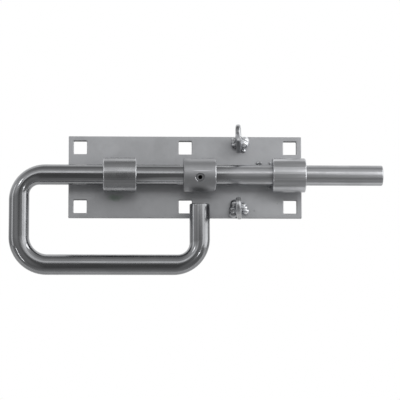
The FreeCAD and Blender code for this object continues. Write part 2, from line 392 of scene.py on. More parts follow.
def quarter_turn(steps):
    """Angles from 0 to 90 degrees in even steps."""
    return [math.radians(90) * step / steps for step in range(steps + 1)]


def full_turn(steps):
    """Angles once round, without the last, which would be the first again."""
    return [math.tau * step / steps for step in range(steps)]


def join_loops(mesh, loops):
    """Makes a solid: faces join each closed loop of points to the next, and close both ends."""
    for one, other in zip(loops, loops[1:]):
        for step in range(len(one)):
            after = (step + 1) % len(one)
            mesh.faces.new([one[step], one[after], other[after], other[step]])
    mesh.faces.new(loops[0])
    mesh.faces.new(loops[-1])
    bmesh.ops.recalc_face_normals(mesh, faces=mesh.faces[:])


def thicken(mesh, faces, step):
    """Makes a solid: flat faces are extruded by a step."""
    grown = bmesh.ops.extrude_face_region(mesh, geom=faces)
    moved = [part for part in grown["geom"] if isinstance(part, bmesh.types.BMVert)]
    bmesh.ops.translate(mesh, verts=moved, vec=step)
    bmesh.ops.recalc_face_normals(mesh, faces=mesh.faces[:])


def round_edges(mesh, edges, radius, steps):
    bmesh.ops.bevel(mesh, geom=edges, offset=radius, segments=steps, profile=0.5, affect="EDGES")


def smooth_below(mesh, angle):
    """Shades a mesh smooth across the edges that turn by less than an angle in degrees."""
    mesh.shade_smooth()
    mesh.set_sharp_from_angle(angle=math.radians(angle))


def to_mesh(source, name, smooth_angle=None):
    """Turns a bmesh into a mesh, smooth or with flat faces."""
    mesh = bpy.data.meshes.new(name)
    source.to_mesh(mesh)
    source.free()
    if smooth_angle is not None:
        smooth_below(mesh, smooth_angle)
    return mesh


def settle(thing):
    """Turns an object's modifiers into its plain mesh."""
    bpy.context.view_layer.update()
    depsgraph = bpy.context.evaluated_depsgraph_get()
    mesh = bpy.data.meshes.new_from_object(thing.evaluated_get(depsgraph))
    mesh.name = thing.name
    thing.modifiers.clear()
    thing.data = mesh
    return thing


# %% [markdown]
# The plate is flat bar with six square holes, punched from the front. A punch drags the skin of the
# steel down with it, so each hole has a soft rolled-over rim at the front and a crisp one at the
# back. The plate could be a box with holes cut by Boolean, but then the rims couldn't be bevelled
# cleanly. Here it is a grid of faces with six of them left out, given its thickness by an
# extrusion, and then bevelled: first the upright corners, then the rims.

# %% Base plate
HOLE_SIDE = 13 * MM
HOLE_CORNER = 0.8 * MM
HOLE_ROLLOVER = 0.8 * MM
PLATE_CORNER = 0.7 * MM
PLATE_EDGE = 0.45 * MM
BACK_EDGE = 0.2 * MM
RIMS = (
    # at a hole, at the front, radius, steps
    (True, True, HOLE_ROLLOVER, 4),
    (False, True, PLATE_EDGE, 3),
    (True, False, BACK_EDGE, 1),
    (False, False, BACK_EDGE, 2),
)
SHARP_ANGLE = math.radians(60)
PUNCHED_TURN = -0.8
GRID_DIGITS = 6
SAME_LEVEL = 1e-6

HOLE_CENTRES = []
for opening in frame["record"]["physics"]["openings"]:
    if opening["name"].startswith("hole_"):
        low, high = opening["box_m"]
        HOLE_CENTRES.append(((low[0] + high[0]) / 2, (low[2] + high[2]) / 2))


def grid_lines(centres, low, high):
    """The grid's lines along one axis: the plate's edges and both sides of each hole."""
    sides = [centre + side * HOLE_SIDE / 2 for centre in centres for side in (-1, 1)]
    return sorted({round(line, GRID_DIGITS) for line in (low, high, *sides)})


def near_hole(x, z, margin=HOLE_CORNER):
    """Whether a place is inside a hole, or beside it by less than the margin."""
    reach = HOLE_SIDE / 2 + margin
    return any(abs(x - cx) < reach and abs(z - cz) < reach for cx, cz in HOLE_CENTRES)


def punched_plate():
    mesh = bmesh.new()
    columns = grid_lines([x for x, z in HOLE_CENTRES], PLATE_LOW.x, PLATE_HIGH.x)
    rows = grid_lines([z for x, z in HOLE_CENTRES], PLATE_LOW.z, PLATE_HIGH.z)
    points = {(x, z): mesh.verts.new((x, PLATE_LOW.y, z)) for x in columns for z in rows}
    for left, right in zip(columns, columns[1:]):
        for below, above in zip(rows, rows[1:]):
            if not near_hole((left + right) / 2, (below + above) / 2, margin=0.0):
                corners = (left, below), (right, below), (right, above), (left, above)
                mesh.faces.new([points[corner] for corner in corners])
    thicken(mesh, mesh.faces[:], (0, PLATE_HIGH.y - PLATE_LOW.y, 0))
    round_uprights(mesh)
    round_rims(mesh)
    return mesh


def is_sharp(edge):
    return len(edge.link_faces) == 2 and edge.calc_face_angle() > SHARP_ANGLE


def at_hole(edge):
    return near_hole(edge.verts[0].co.x, edge.verts[0].co.z)


def round_uprights(mesh):
    """Rounds the corners of the holes and of the plate, seen from the front."""
    for wanted, radius in ((True, HOLE_CORNER), (False, PLATE_CORNER)):
        uprights = [edge for edge in mesh.edges if is_sharp(edge) and at_hole(edge) == wanted
                    and abs(edge.verts[0].co.y - edge.verts[1].co.y) > MM]
        round_edges(mesh, uprights, radius, 4)


def round_rims(mesh):
    """Rounds the rims: softly at the front of the holes, less along the plate's own edges."""
    for wanted, at_front, radius, steps in RIMS:
        level = PLATE_LOW.y if at_front else PLATE_HIGH.y
        rims = [edge for edge in mesh.edges if is_sharp(edge) and at_hole(edge) == wanted
                and all(abs(vert.co.y - level) < SAME_LEVEL for vert in edge.verts)]
        round_edges(mesh, rims, radius, steps)


PLATE_CLOUDS_AND_SHADE = (
    # centre, half size, how much lighter (or darker, below 0)
    ((-0.076, -0.005, 0.029), (0.013, 0.02, 0.009), 0.05),
    ((0.026, -0.005, 0.026), (0.022, 0.02, 0.011), 0.05),
    ((0.090, -0.005, -0.031), (0.026, 0.02, 0.0085), 0.05),
    ((-0.020, -0.005, 0.030), (0.016, 0.02, 0.012), -0.05),
    # Painted shade: the lower left of the plate, below the bar, is darker as if in its shadow.
    ((-0.040, -0.005, -0.030), (0.090, 0.02, 0.030), -0.12),
)
STAIN_CENTRE = (-0.0690, -0.005, -0.0205)
STAIN_HALF = (0.010, 0.004, 0.0042)
STAIN_SHADE = -0.22
STAIN_ROUGHNESS = 0.1
STAIN_TINT = (0.9, 1.04, 0.94, 1.0)


def plate_finish():
    """Rolled flat bar: broad clouds, a few bath patches, painted shade below the bar, one damp
    stain.
    """
    skin = Finish("plate_zinc", grey=0.50, roughness=0.46,
                  cloud_scale=24.0, cloud_depth=0.05, drift=0.03)
    for centre, half, amount in PLATE_CLOUDS_AND_SHADE:
        cloud = skin.patch(centre, half, core=0.55, waver=0.25, waver_scale=60.0)
        skin.shade_by(cloud, amount)
    stain = skin.patch(STAIN_CENTRE, STAIN_HALF, core=0.2, waver=0.9, waver_scale=180.0)
    skin.shade_by(stain, STAIN_SHADE)
    skin.roughen_by(stain, STAIN_ROUGHNESS)
    skin.lines(skin.place, along=4.0, around=90.0, shade_depth=0.05, height_depth=0.1)
    skin.grain(1100.0, 0.12)
    return skin.finish(tint=blend_colors(skin.tree, stain, ZINC_TINT, STAIN_TINT))


def is_punched(face):
    """The walls and steep rims of the holes, but not the bevel at the back: they get painted shade.
    """
    return (near_hole(face.center.x, face.center.z) and face.normal.y > PUNCHED_TURN
            and face.center.y < PLATE_HIGH.y - BACK_EDGE)


PLATE_ZINC = plate_finish()
plate = make_object("dressed_plate", to_mesh(punched_plate(), "dressed_plate", smooth_angle=50))
flatten = plate.modifiers.new("Flat faces stay flat", "WEIGHTED_NORMAL")
flatten.mode = "FACE_AREA"
flatten.weight = 100
flatten.keep_sharp = True
settle(plate)
plate.data.materials.append(PLATE_ZINC)
# Painted shade: the walls and steep rims of the holes get a dark finish.
paint_faces(plate, HOLE_WALL_SHADE, is_punched)
place_piece(plate, PLATE_ZINC, "mounting_plate", ["base_plate"])

# %% [markdown]
# The bolt is one round bar, bent cold three times. A cold bend isn't a neat torus: the bar is
# squeezed thinner between its inner and outer curve, and the two curves have centres of their own.
# A curve with a round profile can't show that, so this mesh is built from rings. Along a straight
# stretch the rings are circles. In a bend each ring spans from the inner curve to the outer one.
# Every point also stores where it would be if the bar were straight, as an attribute, so that the
# drawn lines of the metal can follow the bends.

# %% Bent bar
STUB_X = 13.4 * MM
END_RADIUS = 1.3 * MM
END_STEPS = 6
RING_POINTS = 72
BEND_STEPS = 40
HANDLE_X = ROD_LOW.x + ROD_RADIUS
GRIP_Z = ROD_LOW.z + ROD_RADIUS
STUB_TOP_Z = -28.5 * MM
NOSE_X = ROD_HIGH.x
BENDS = (
    # x and z of the corner, radius of the inner curve, radius of the outer curve
    ((HANDLE_X, 0.0), 9.5 * MM, 35.5 * MM),
    ((HANDLE_X, GRIP_Z), 18.0 * MM, 37.0 * MM),
    ((STUB_X, GRIP_Z), 11.5 * MM, 35.5 * MM),
)
SIDE_BULGE = 0.35 * MM


def flat(point):
    """A point of the XZ plane as a vector in the plane of the bar's centre line."""
    return Vector((point[0], AXIS_Y, point[1]))


def end_rings(tip, inward):
    """The rounded edge of a cut end: rings from the flat end face to the full radius."""
    across = Vector((inward.z, 0, -inward.x))
    rings = []
    for angle in quarter_turn(END_STEPS):
        depth = END_RADIUS * (1 - math.cos(angle))
        radius = ROD_RADIUS - END_RADIUS + END_RADIUS * math.sin(angle)
        rings.append((tip + inward * depth, across * radius, radius, depth))
    return rings


def bend_rings(bend, before, after, last, along):
    """Rings through one bend: centre, half width towards the outside, half depth, length so far."""
    corner, inner_radius, outer_radius = bend
    towards_centre = after - before
    to_skin = towards_centre * ROD_RADIUS
    outer_centre = flat(corner) - to_skin + towards_centre * outer_radius
    inner_centre = flat(corner) + to_skin + towards_centre * inner_radius
    rings = []
    for angle in quarter_turn(BEND_STEPS):
        outward = before * math.sin(angle) - after * math.cos(angle)
        outer = outer_centre + outward * outer_radius
        inner = inner_centre + outward * inner_radius
        centre = (outer + inner) / 2
        along += (centre - last).length
        last = centre
        depth = ROD_RADIUS + SIDE_BULGE * math.sin(2 * angle)
        rings.append((centre, (outer - inner) / 2, depth, along))
    return rings


def bar_rings():
    """All the rings from the nose, through the three bends, to the free end."""
    nose = flat((NOSE_X, 0.0))
    stub_end = flat((STUB_X, STUB_TOP_Z))
    stops = [nose] + [flat(corner) for corner, inner, outer in BENDS] + [stub_end]
    heads = [(after - before).normalized() for before, after in zip(stops, stops[1:])]
    rings = end_rings(nose, heads[0])
    for bend, before, after in zip(BENDS, heads, heads[1:]):
        rings += bend_rings(bend, before, after, last=rings[-1][0], along=rings[-1][3])
    length = rings[-1][3] + (stub_end - rings[-1][0]).length
    closing = reversed(end_rings(stub_end, -heads[-1]))
    return rings + [(centre, half, depth, length - left) for centre, half, depth, left in closing]


def bent_bar():
    """The bar's shape, and the place that each of its points would have on a straight bar."""
    rings = bar_rings()
    mesh = bmesh.new()
    straight = []
    loops = []
    previous = rings[0][1]
    for centre, half, depth, along in rings:
        # Each ring starts on the side on which the ring before it starts.
        previous = half = half if half.dot(previous) >= 0 else -half
        loop = []
        for turn in full_turn(RING_POINTS):
            offset = half * math.cos(turn) + Vector((0, depth, 0)) * math.sin(turn)
            loop.append(mesh.verts.new(centre + offset))
            straight.append((along, ROD_RADIUS * math.cos(turn), ROD_RADIUS * math.sin(turn)))
        loops.append(loop)
    join_loops(mesh, loops)
    return mesh, straight


bar_shape, straight_places = bent_bar()
bar_mesh = to_mesh(bar_shape, "bent_bar", smooth_angle=40)
straightened = bar_mesh.attributes.new("straightened", "FLOAT_VECTOR", "POINT")
for point, value in zip(straightened.data, straight_places):
    point.vector = value
bar = make_object("bent_bar", bar_mesh)
place_piece(bar, ROD_ZINC, "bolt", ["bolt_rod"])

# %% [markdown]
# The two guide sleeves are cut from thick tube, and so is the stop collar. A tube is a rounded
# rectangle carried round a circle, which is a rule that Geometry Nodes can hold: one tree with
# named inputs makes all three. The result is turned into a plain mesh, because the frame takes only
# plain meshes.

# %% Geometry Nodes: tube
TUBE_STEPS = 128
TUBE_EDGE_STEPS = 6


def dress(tree, shape, finish, result):
    """The end of each tree: the shape is made smooth, gets its finish and leaves the group."""
    smooth = add(tree, "GeometryNodeSetShadeSmooth", {"Geometry": shape})
    dressed = add(tree, "GeometryNodeSetMaterial", {"Geometry": smooth, "Material": finish})
    tree.links.new(dressed.outputs[0], result["Geometry"])
    return tree


def tube_tree():
    tree, given, result = start_group(
        "Cut tube", "GeometryNodeTree",
        [("Outer radius", "float"), ("Bore radius", "float"), ("Length", "float"),
         ("Edge radius", "float"), ("Middle", "vector"), ("Finish", "material")],
        [("Geometry", "geometry")])
    outer, bore = given["Outer radius"], given["Bore radius"]
    middle = calc(tree, "MULTIPLY", calc(tree, "ADD", outer, bore), 0.5)
    section = add(tree, "GeometryNodeCurvePrimitiveQuadrilateral",
                  {"Width": calc(tree, "SUBTRACT", outer, bore), "Height": given["Length"]},
                  mode="RECTANGLE")
    rounded = add(tree, "GeometryNodeFilletCurve",
                  {"Curve": section, "Count": TUBE_EDGE_STEPS, "Radius": given["Edge radius"]},
                  mode="POLY")
    path = add(tree, "GeometryNodeCurvePrimitiveCircle",
               {"Resolution": TUBE_STEPS, "Radius": middle}, mode="RADIUS")
    swept = add(tree, "GeometryNodeCurveToMesh", {"Curve": path, "Profile Curve": rounded})
    turned = add(tree, "GeometryNodeTransform",
                 {"Geometry": swept, "Translation": given["Middle"],
                  "Rotation": (0.0, math.radians(90), 0.0)})
    return dress(tree, turned, given["Finish"], result)


def grow(name, tree, values, source=None):
    """Runs a Geometry Nodes tree on an object, whose mesh is then the plain result."""
    thing = make_object(name, source or bpy.data.meshes.new(name))
    modifier = thing.modifiers.new("Shape", "NODES")
    modifier.node_group = tree
    identifiers = {item.name: item.identifier for item in tree.interface.items_tree
                   if item.in_out == "INPUT"}
    for label, value in values.items():
        modifier[identifiers[label]] = value
    return settle(thing)


SLEEVE_EDGE = 1.1 * MM
SLEEVE_CLEARANCE = 0.5 * MM
RIM_REACH = 1.5 * MM
RIM_TURN = (0.12, 0.97)


def brighten_rims(tube, radius, ends=(-1, 1)):
    """The rims at these ends were filed, and their brighter finish is also a painted highlight."""
    def on_rim(face):
        return (math.hypot(face.center.y - AXIS_Y, face.center.z) > radius - RIM_REACH
                and RIM_TURN[0] < abs(face.normal.x) < RIM_TURN[1]
                and math.copysign(1, face.normal.x) in ends)
    paint_faces(tube, RIM_HIGHLIGHT, on_rim)


TUBE = tube_tree()


def make_tube(name, low, high, middle, clearance, edge, finish):
    """A tube on the bar, between the corners of a box: clearance is its bore's, edge its rims'."""
    return grow(name, TUBE, {
        "Outer radius": (high.z - low.z) / 2, "Bore radius": ROD_RADIUS + clearance,
        "Length": high.x - low.x, "Edge radius": edge, "Middle": tuple(middle), "Finish": finish})


for place in ("rear", "front"):
    node = place + "_guide_sleeve"
    low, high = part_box(node)
    sleeve = make_tube("dressed_" + node, low, high, (low + high) / 2,
                       SLEEVE_CLEARANCE, SLEEVE_EDGE, SLEEVE_ZINC[place])
    brighten_rims(sleeve, (high.z - low.z) / 2)
    place_piece(sleeve, SLEEVE_ZINC[place], "mounting_plate", [node])

# %% [markdown]
# The stop collar is a third tube, duller than the sleeves. Its set screw sits in a tapped hole a
# little below the front, so the same tree makes the tube and a Boolean modifier opens the hole. The
# cutter is turned like a countersink: its mouth flares, which leaves the hole a rounded lip.

# %% Stop collar
COLLAR_EDGE = 1.0 * MM
COLLAR_CLEARANCE = 0.08 * MM
SCREW_ANGLE = math.radians(15)
SCREW_HOLE_RADIUS = 4.06 * MM
LIP = 0.65 * MM
SCREW_LIP_DROP = 0.27 * MM
LIP_STEPS = 5
CUTTER_FOOT = ROD_RADIUS * 0.6
CUTTER_RISE = 2 * MM
CUTTER_SPREAD = 0.2 * MM
LIP_HIGHLIGHT_GAP = 0.02 * MM
TURNED_STEPS = 48
COLLAR_LOW, COLLAR_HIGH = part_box("stop_collar")
COLLAR_RADIUS = (COLLAR_HIGH.z - COLLAR_LOW.z) / 2
SCREW_OUT = Vector((0, -math.cos(SCREW_ANGLE), -math.sin(SCREW_ANGLE)))
COLLAR_MIDDLE = Vector(((COLLAR_LOW.x + COLLAR_HIGH.x) / 2, AXIS_Y, 0))


def turned_solid(profile, origin, axis, across):
    """A solid turned round an axis through the origin: the profile is heights and radii."""
    mesh = bmesh.new()
    upright = axis.cross(across)
    join_loops(mesh, [
        [mesh.verts.new(origin + axis * height + across * radius * math.cos(turn)
                        + upright * radius * math.sin(turn)) for turn in full_turn(TURNED_STEPS)]
        for height, radius in profile])
    return mesh


def lip_profile(height, radius, lip):
    """The flare of a cutter where it leaves the metal at this height."""
    return [(height - lip + lip * math.sin(angle), radius + lip * (1 - math.cos(angle)))
            for angle in quarter_turn(LIP_STEPS)]


def screw_hole_cutter():
    """A round cutter along the screw's axis that flares where it leaves the collar."""
    mouth = lip_profile(COLLAR_RADIUS - SCREW_LIP_DROP, SCREW_HOLE_RADIUS, LIP)
    past = (COLLAR_RADIUS + CUTTER_RISE, mouth[-1][1] + CUTTER_SPREAD)
    return turned_solid([(CUTTER_FOOT, SCREW_HOLE_RADIUS)] + mouth + [past],
                        COLLAR_MIDDLE, SCREW_OUT, Vector((1, 0, 0)))


def drill(thing, cutter_shape):
    """Cuts a shape out of a thing and keeps crisp edges crisp."""
    cutter = make_object("cutter", to_mesh(cutter_shape, "cutter"))
    drilled = thing.modifiers.new("Drilled hole", "BOOLEAN")
    drilled.operation = "DIFFERENCE"
    drilled.solver = "EXACT"
    drilled.object = cutter
    settle(thing)
    bpy.data.objects.remove(cutter)
    smooth_below(thing.data, 35)


SCRATCH_CENTRE = (0.0150, -0.0380, 0.0022)
SCRATCH_HALF = (0.0110, 0.004, 0.0006)
SCRATCH_SHADE = 0.6


def collar_finish():
    """Dull zinc, with one thin scratch beside the screw."""
    skin = Finish("collar_zinc", grey=0.40, roughness=0.46,
                  cloud_scale=40.0, cloud_depth=0.06, drift=0.04)
    skin.lines(skin.place, along=6.0, around=650.0, shade_depth=0.15, height_depth=0.05)
    skin.grain(1300.0, 0.06)
    scratch = skin.patch(SCRATCH_CENTRE, SCRATCH_HALF, core=0.5, waver=0.4, waver_scale=400.0)
    skin.shade_by(scratch, SCRATCH_SHADE)
    return skin.finish()


def is_lip_highlight(face):
    """The lower rear side of the hole's lip: a painted highlight, the crescent of light there."""
    reach = face.center - COLLAR_MIDDLE
    height = reach.dot(SCREW_OUT)
    around = reach - SCREW_OUT * height
    return (SCREW_HOLE_RADIUS + LIP_HIGHLIGHT_GAP < around.length < SCREW_HOLE_RADIUS + LIP
            and height > COLLAR_RADIUS - 2 * LIP and around.x < 0 and around.z < 0)


COLLAR_ZINC = collar_finish()
collar = make_tube("dressed_collar", COLLAR_LOW, COLLAR_HIGH, COLLAR_MIDDLE,
                   COLLAR_CLEARANCE, COLLAR_EDGE, COLLAR_ZINC)
# Painted highlight: only the collar's rim towards the nose gets the brighter finish.
brighten_rims(collar, COLLAR_RADIUS, ends=(1,))
drill(collar, screw_hole_cutter())
# Painted highlight on the lip of the screw hole.
paint_faces(collar, RIM_HIGHLIGHT, is_lip_highlight)
place_piece(collar, COLLAR_ZINC, "collar", ["stop_collar"])

# %% [markdown]
# The set screw keeps its shape from the construction model. Its hexagon socket is a deep small hole
# full of oil and shadow, so the material darkens towards the screw's axis below the face.

# %% Set screw finish
SCREW_FACE = COLLAR_RADIUS - 0.8 * MM
# The darkness fades out between two distances from the axis, and between two heights.
SOCKET_WALL = (2.1 * MM, 2.5 * MM)
SOCKET_MOUTH = (SCREW_FACE - 0.5 * MM, SCREW_FACE - 0.02 * MM)
SOCKET_SHADE = -0.96
SOCKET_ROUGHNESS = 0.4


def screw_finish():
    skin = Finish("screw_steel", grey=0.36, roughness=0.42,
                  cloud_scale=400.0, cloud_depth=0.15, drift=0.05)
    tree = skin.tree
    reach = vector_calc(tree, "SUBTRACT", skin.place, tuple(COLLAR_MIDDLE))
    height = vector_calc(tree, "DOT_PRODUCT", reach, tuple(SCREW_OUT))
    full = vector_calc(tree, "DOT_PRODUCT", reach, reach)
    away = calc(tree, "SQRT", calc(tree, "SUBTRACT", full, calc(tree, "MULTIPLY", height, height)))
    socket = remap(tree, away, *SOCKET_WALL, 1.0, 0.0)
    deep = remap(tree, height, *SOCKET_MOUTH, 1.0, 0.0)
    skin.shade_by(calc(tree, "MULTIPLY", socket, deep), SOCKET_SHADE)
    skin.roughen_by(socket, SOCKET_ROUGHNESS)
    skin.grain(2500.0, 0.1)
    return skin.finish()


keep_node("collar_set_screw", screw_finish())

# %% [markdown]
# The padlock eyes are short lengths of flat bar with one end rounded and drilled. Tumbling has worn
# their edges quite round, so they can't be plain extrusions: the outline is extruded, every edge
# but the foot's is bevelled, and the hole is drilled with the same kind of flared cutter. Each eye
# then leans as it was welded, and its foot sinks a little into the plate.

# %% Padlock eyes
EYE_THICKNESS = 5 * MM
EYE_WIDTH = 17 * MM
EYE_HEIGHT = 48 * MM
EYE_HOLE_RADIUS = 5 * MM
EYE_HOLE_FLARE = 0.4 * MM
EYE_SINK = 1.2 * MM
EYE_WORN_EDGE = 1.9 * MM
EYE_FOOT_X = 53.4 * MM
EYE_FOOT_Z = 33 * MM
EYE_LEAN_REAR = math.radians(5)
EYE_LEAN_UP = {"upper": math.radians(7.5), "lower": math.radians(0.5)}
EYE_END_STEPS = 28


def eye_shape():
    """The eye upright at the origin: its foot at y = 0, its rounded end towards -Y."""
    half = EYE_WIDTH / 2
    centre = half - EYE_HEIGHT
    outline = [(EYE_SINK, half)]
    for step in range(EYE_END_STEPS + 1):
        angle = math.radians(90 - 180 * step / EYE_END_STEPS)
        outline.append((centre - half * math.cos(angle), half * math.sin(angle)))
    outline.append((EYE_SINK, -half))
    mesh = bmesh.new()
    face = mesh.faces.new([mesh.verts.new((-EYE_THICKNESS / 2, y, z)) for y, z in outline])
    thicken(mesh, [face], (EYE_THICKNESS, 0, 0))
    worn = [edge for edge in mesh.edges if is_sharp(edge)
            and not all(vert.co.y > EYE_SINK / 2 for vert in edge.verts)]
    round_edges(mesh, worn, EYE_WORN_EDGE, 6)
    return mesh


def eye_hole_cutter():
    """A cutter that flares at both faces of the eye and stands a little out of them."""
    half = EYE_THICKNESS / 2
    flare = lip_profile(half, EYE_HOLE_RADIUS, EYE_HOLE_FLARE)
    profile = flare + [(half + MM, flare[-1][1])]
    mirrored = [(-height, radius) for height, radius in reversed(profile)]
    centre = Vector((0, EYE_WIDTH / 2 - EYE_HEIGHT, 0))
    return turned_solid(mirrored + profile, centre, Vector((1, 0, 0)), Vector((0, 0, 1)))


EYE_PAINTED_LIGHT_AND_SHADE = (
    # centre, half size, how much lighter (or darker, below 0)
    # Painted highlight: the lower part of the upper eye's rounded end.
    ((0.0500, -0.0500, 0.0330), (0.0070, 0.0075, 0.0045), 1.0),
    # Painted shade: the upper part of the upper eye's rounded end.
    ((0.0484, -0.0520, 0.0410), (0.0030, 0.0060, 0.0050), -0.55),
    # Painted shade: the top of the lower eye's rounded end.
    ((0.0490, -0.0520, -0.0260), (0.0060, 0.0060, 0.0040), -0.45),
    # Painted shade: the lower edge of the lower eye, along its length.
    ((0.0505, -0.0300, -0.0420), (0.0080, 0.0400, 0.0060), -0.45),
)


def eye_finish():
    """Worn flat bar, with painted highlight in one place and painted shade in three."""
    skin = Finish("eye_zinc", grey=0.50, roughness=0.32,
                  cloud_scale=60.0, cloud_depth=0.12, drift=0.05)
    skin.grain(1500.0, 0.05)
    for centre, half, amount in EYE_PAINTED_LIGHT_AND_SHADE:
        skin.shade_by(skin.patch(centre, half, core=0.4, waver=0.3, waver_scale=200.0), amount)
    return skin.finish()


EYE_ZINC = eye_finish()


def padlock_eye(edge, side):
    node = edge + "_padlock_eye"
    eye = make_object("dressed_" + node, to_mesh(eye_shape(), node, smooth_angle=50))
    drill(eye, eye_hole_cutter())
    foot = Matrix.Translation((EYE_FOOT_X, PLATE_FRONT, side * EYE_FOOT_Z))
    eye.data.transform(foot @ Matrix.Rotation(-EYE_LEAN_REAR, 4, "Z")
                       @ Matrix.Rotation(-EYE_LEAN_UP[edge], 4, "X"))
    place_piece(eye, EYE_ZINC, "mounting_plate", [node])


padlock_eye("upper", 1)
padlock_eye("lower", -1)

# %% [markdown]
# A weld bead is a row of drops that froze one on another. Geometry Nodes can do the same: drops of
# uneven size are strung along a line and fused through a volume, and a fine noise ripples the skin.
# The underside is pressed flat inside the plate's front, so no gap shows below the bead.

# %% Geometry Nodes: weld bead
WELD_VOXEL = 0.22 * MM
WELD_BAND = 3 * WELD_VOXEL
WELD_THRESHOLD = 0.4
WELD_SEAT = PLATE_FRONT + 0.2 * MM
RIPPLE_SCALE = 260.0
DROP_SIZES = {2: 0.78, 3: 1.1}
SEED_STEP = 7


def weld_tree():
    tree, given, result = start_group(
        "Weld bead", "GeometryNodeTree",
        [("Start", "vector"), ("End", "vector"), ("Drops", "int"), ("Drop radius", "float"),
         ("Wander", "float"), ("Ripple", "float"), ("Seed", "int"), ("Finish", "material")],
        [("Geometry", "geometry")])
    line = add(tree, "GeometryNodeCurvePrimitiveLine",
               {"Start": given["Start"], "End": given["End"]})
    string = add(tree, "GeometryNodeCurveToPoints", {"Curve": line, "Count": given["Drops"]},
                 mode="COUNT").outputs["Points"]
    spread = add(tree, "FunctionNodeRandomValue",
                 {0: (-1.0, -1.0, -1.0), 1: (1.0, 1.0, 1.0), 8: given["Seed"]},
                 data_type="FLOAT_VECTOR")
    offset = vector_calc(tree, "SCALE", spread, given["Wander"])
    moved = add(tree, "GeometryNodeSetPosition", {"Geometry": string, "Offset": offset})
    seed = calc(tree, "ADD", given["Seed"], SEED_STEP)
    size = add(tree, "FunctionNodeRandomValue", {**DROP_SIZES, 8: seed}, data_type="FLOAT")
    drop = add(tree, "GeometryNodeMeshIcoSphere",
               {"Radius": given["Drop radius"], "Subdivisions": 4})
    hung = add(tree, "GeometryNodeInstanceOnPoints",
               {"Points": moved, "Instance": drop, "Scale": size.outputs[1]})
    real = add(tree, "GeometryNodeRealizeInstances", {"Geometry": hung})
    cloud = add(tree, "GeometryNodeMeshToVolume",
                {"Mesh": real, "Voxel Size": WELD_VOXEL, "Interior Band Width": WELD_BAND},
                resolution_mode="VOXEL_SIZE")
    skin = add(tree, "GeometryNodeVolumeToMesh", {"Volume": cloud, "Threshold": WELD_THRESHOLD})
    wave = ripple(tree, add(tree, "GeometryNodeInputPosition"), RIPPLE_SCALE)
    push = vector_calc(tree, "SCALE", add(tree, "GeometryNodeInputNormal"),
                       calc(tree, "MULTIPLY", wave, given["Ripple"]))
    rippled = add(tree, "GeometryNodeSetPosition", {"Geometry": skin, "Offset": push})
    x, y, z = add(tree, "ShaderNodeSeparateXYZ",
                  {0: add(tree, "GeometryNodeInputPosition")}).outputs
    pressed = add(tree, "ShaderNodeCombineXYZ",
                  {0: x, 1: calc(tree, "MINIMUM", y, WELD_SEAT), 2: z})
    seated = add(tree, "GeometryNodeSetPosition", {"Geometry": rippled, "Position": pressed})
    return dress(tree, seated, given["Finish"], result)


WELD = weld_tree()


def weld_bead(node, start, end, drops, radius, wander, rippling, seed, finish):
    bead = grow("dressed_" + node, WELD, {
        "Start": start, "End": end, "Drops": drops, "Drop radius": radius,
        "Wander": wander, "Ripple": rippling, "Seed": seed, "Finish": finish,
    })
    place_piece(bead, finish, "mounting_plate", [node])


# %% [markdown]
# Beside each eye the beads are short and heaped. On the nose side, where the light falls, they
# get a pale finish, which is painted light. Behind the eyes they get a dark finish, which is
# painted shade. Above and below each sleeve the bead is a neat even row along the groove.

# %% Weld beads
EYE_BEADS = (
    # node, start x and z, end x and z, drops, drop radius, wander, ripple, seed, finish (in mm)
    # The pale finish on the nose side is painted light; the dark one behind the eyes is painted
    # shade.
    ("upper_eye_weld_rear", (48.8, 36.4), (49.0, 31.8), 3, 3.9, 0.5, 0.5, 4, WELD_PAINTED_SHADED),
    ("upper_eye_weld_front", (58.2, 35.6), (57.6, 32.6), 3, 5.3, 0.4, 0.6, 5, WELD_PAINTED_LIT),
    ("lower_eye_weld_rear", (47.8, -26.8), (47.0, -35.4), 4, 4.6, 0.6, 0.4, 6, WELD_PAINTED_SHADED),
    ("lower_eye_weld_front", (56.6, -28.6), (59.2, -33.4), 3, 4.3, 0.5, 0.5, 9, WELD_PAINTED_LIT),
)
EYE_BEAD_LIFT = 0.9
for node, start, end, drops, radius, wander, rippling, seed, finish in EYE_BEADS:
    y = PLATE_FRONT - EYE_BEAD_LIFT * radius * MM
    weld_bead(node, (start[0] * MM, y, start[1] * MM), (end[0] * MM, y, end[1] * MM),
              drops, radius * MM, wander * MM, rippling * MM, seed, finish)

SLEEVE_DROPS = 12
SLEEVE_DROP = 4.0 * MM
SLEEVE_BEAD_LIFT = 2.2 * MM
SLEEVE_BEAD_SHIFT = 0.4 * MM
SLEEVE_WANDER = 0.3 * MM
SLEEVE_SEED = 11
for place in ("rear", "front"):
    for edge, side in (("upper", 1), ("lower", -1)):
        node = place + "_sleeve_weld_" + edge
        low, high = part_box(node)
        z = (low.z + high.z) / 2 - side * SLEEVE_BEAD_SHIFT
        y = PLATE_FRONT - SLEEVE_BEAD_LIFT
        weld_bead(node, (low.x + SLEEVE_DROP, y, z), (high.x - SLEEVE_DROP, y, z), SLEEVE_DROPS,
                  SLEEVE_DROP, SLEEVE_WANDER, SLEEVE_WANDER, SLEEVE_SEED + side, WELD_ZINC)

# %% [markdown]
# Welding throws small balls of metal, and a few froze to the plate. Their places were read from the
# photograph. Geometry Nodes sets one ball at each place, a little flatter than it is wide. Only the
# ball beside the upper eye is bright. The others flew further and cooled dull.

# %% Spatter
SPATTER = (
    # x, z and radius in mm
    (57.7, 26.4, 2.1), (71.2, 14.2, 1.5), (74.4, 14.2, 1.5), (83.6, 14.3, 1.2), (82.3, -10.4, 1.7),
    (91.0, -25.8, 0.6), (68.0, -33.0, 0.5),
)
BALL_LIFT = 0.55
BALL_FLATNESS = 0.85
DULL_FROM_X = 65 * MM


